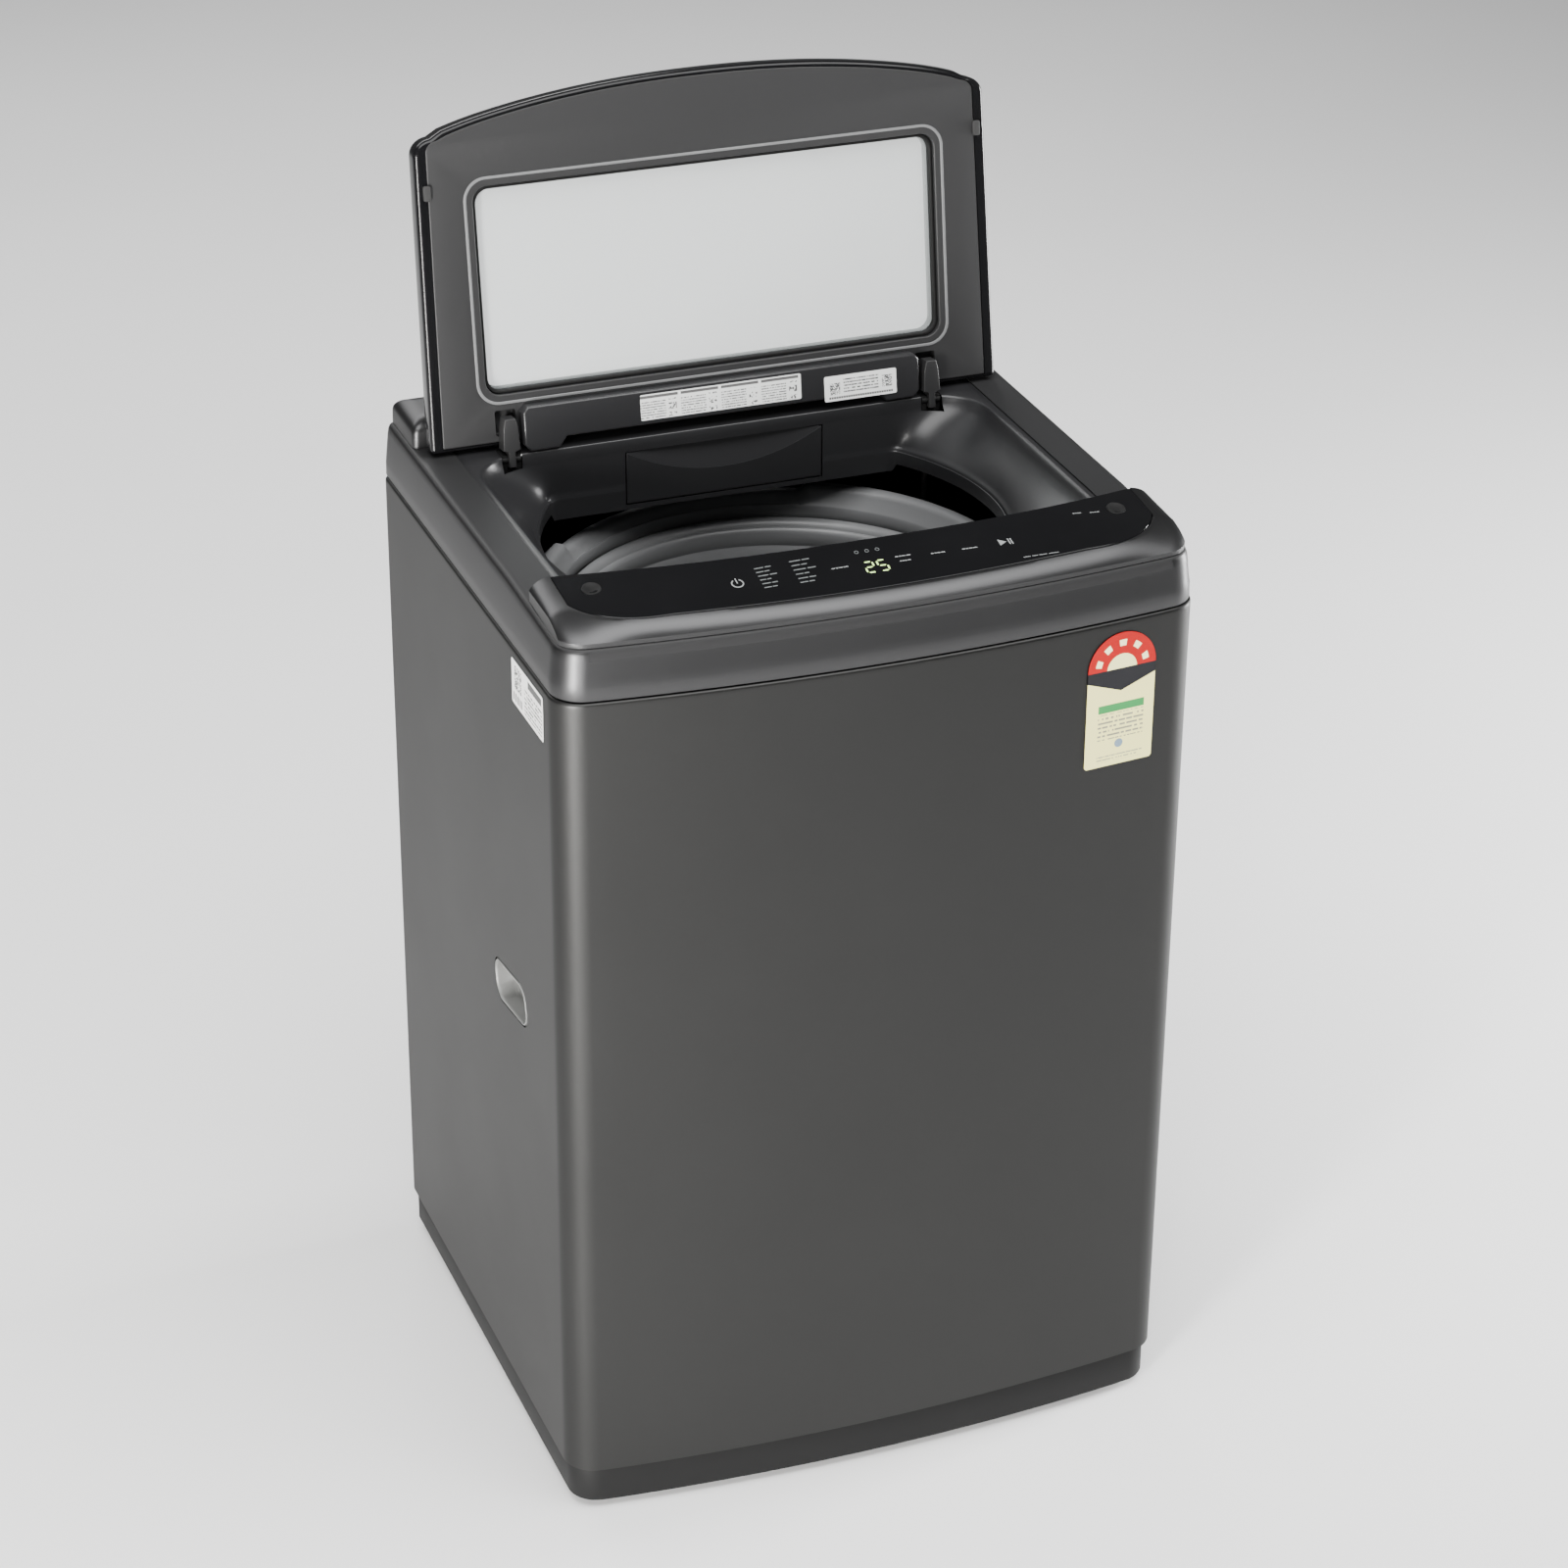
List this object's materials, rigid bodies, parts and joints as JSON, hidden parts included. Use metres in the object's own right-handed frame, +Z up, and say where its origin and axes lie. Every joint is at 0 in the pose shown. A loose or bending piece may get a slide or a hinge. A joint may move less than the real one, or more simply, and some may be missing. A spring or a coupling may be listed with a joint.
{
  "type": "top load washing machine",
  "caption": "Free-standing top load washing machine with a hinged glass lid, sloping touch panel, sprung tub, spinning basket and pulsator, and pull-out detergent drawer.",
  "frame": {"origin": "on the floor under the middle of the cabinet, on the spin axis", "axes": "+Z up, -Y is the front with the control panel, +X is the right-hand side as a user faces the machine"},
  "size_m": [0.591, 0.536, 1.2055],
  "materials": {
    "painted_steel": "grey metallic paint, satin",
    "metallic_plastic": "grey metallic moulding, satin gloss",
    "gloss_black": "high gloss black",
    "deck_plastic": "dark grey, soft gloss",
    "charcoal_plastic": "charcoal, satin",
    "matt_black": "matt black",
    "tempered_glass": "clear tinted, polished",
    "light_grey": "light grey, satin",
    "white_plastic": "white, matt",
    "stainless": "brushed",
    "zinc": "zinc plated",
    "black_rubber": "matt",
    "copper": "varnished winding",
    "cast_alloy": "as cast",
    "paper": "printed sticker",
    "board": "solder mask"
  },
  "bodies": {
    "cabinet": {"cabinet_shell": "painted_steel", "back_panel": "painted_steel", "base_frame": "matt_black", "levelling_foot_front_left": "black_rubber", "levelling_foot_rear_left": "black_rubber", "levelling_foot_front_right": "black_rubber", "levelling_foot_rear_right": "black_rubber", "side_grip_left": "charcoal_plastic", "side_grip_right": "charcoal_plastic", "drain_outlet": "matt_black", "power_inlet_gland": "matt_black", "top_frame": "metallic_plastic", "rear_cover": "metallic_plastic", "control_nose": "metallic_plastic", "control_fascia": "gloss_black", "control_board": "board", "deck_basin": "deck_plastic", "hinge_bracket_left": "matt_black", "hinge_bracket_right": "matt_black", "dispenser_housing": "deck_plastic", "inlet_valve": "white_plastic", "rating_label": "paper", "side_label": "paper", "suspension_rod_front_left": "zinc", "suspension_rod_rear_left": "zinc", "suspension_rod_front_right": "zinc", "suspension_rod_rear_right": "zinc", "hanger_front_left": "zinc", "hanger_rear_left": "zinc", "hanger_front_right": "zinc", "hanger_rear_right": "zinc", "drain_pump": "white_plastic"},
    "lid": {"lid_shell": "gloss_black", "lid_glass": "tempered_glass", "lid_inner_frame": "charcoal_plastic", "window_bezel": "matt_black", "lid_bumper_left": "black_rubber", "lid_bumper_right": "black_rubber", "hinge_cover": "deck_plastic", "hinge_arm_left": "zinc", "hinge_arm_right": "zinc", "care_label": "paper", "data_label": "paper"},
    "drawer": {"dispenser_drawer": "deck_plastic"},
    "tub": {"outer_tub": "white_plastic", "tub_cover": "light_grey", "suspension_cup_front_left": "matt_black", "suspension_cup_rear_left": "matt_black", "suspension_cup_front_right": "matt_black", "suspension_cup_rear_right": "matt_black", "bearing_housing": "cast_alloy", "motor_stator": "copper"},
    "basket": {"wash_basket": "stainless", "balance_ring": "light_grey", "lint_filter": "light_grey", "basket_shaft": "zinc"},
    "pulsator": {"pulsator": "light_grey", "pulsator_shaft": "zinc", "motor_rotor": "zinc"}
  },
  "joints": [
    {"name": "lid_hinge", "type": "hinge", "parent": "cabinet", "child": "lid", "pos_m": [0, 0.151, 0.879], "axis": [1, 0, 0], "range_deg": [0, 98.5]},
    {"name": "drawer_slide", "type": "slide", "parent": "cabinet", "child": "drawer", "axis": [0, -1, 0], "range_m": [0, 0.06]},
    {"name": "tub_suspension", "type": "slide", "parent": "cabinet", "child": "tub", "axis": [0, 0, 1], "range_m": [-0.015, 0.008]},
    {"name": "basket_spin", "type": "hinge", "parent": "tub", "child": "basket", "pos_m": [0, 0, 0.3], "axis": [0, 0, 1], "continuous": true},
    {"name": "pulsator_spin", "type": "hinge", "parent": "tub", "child": "pulsator", "pos_m": [0, 0, 0.26], "axis": [0, 0, 1], "continuous": true}
  ]
}
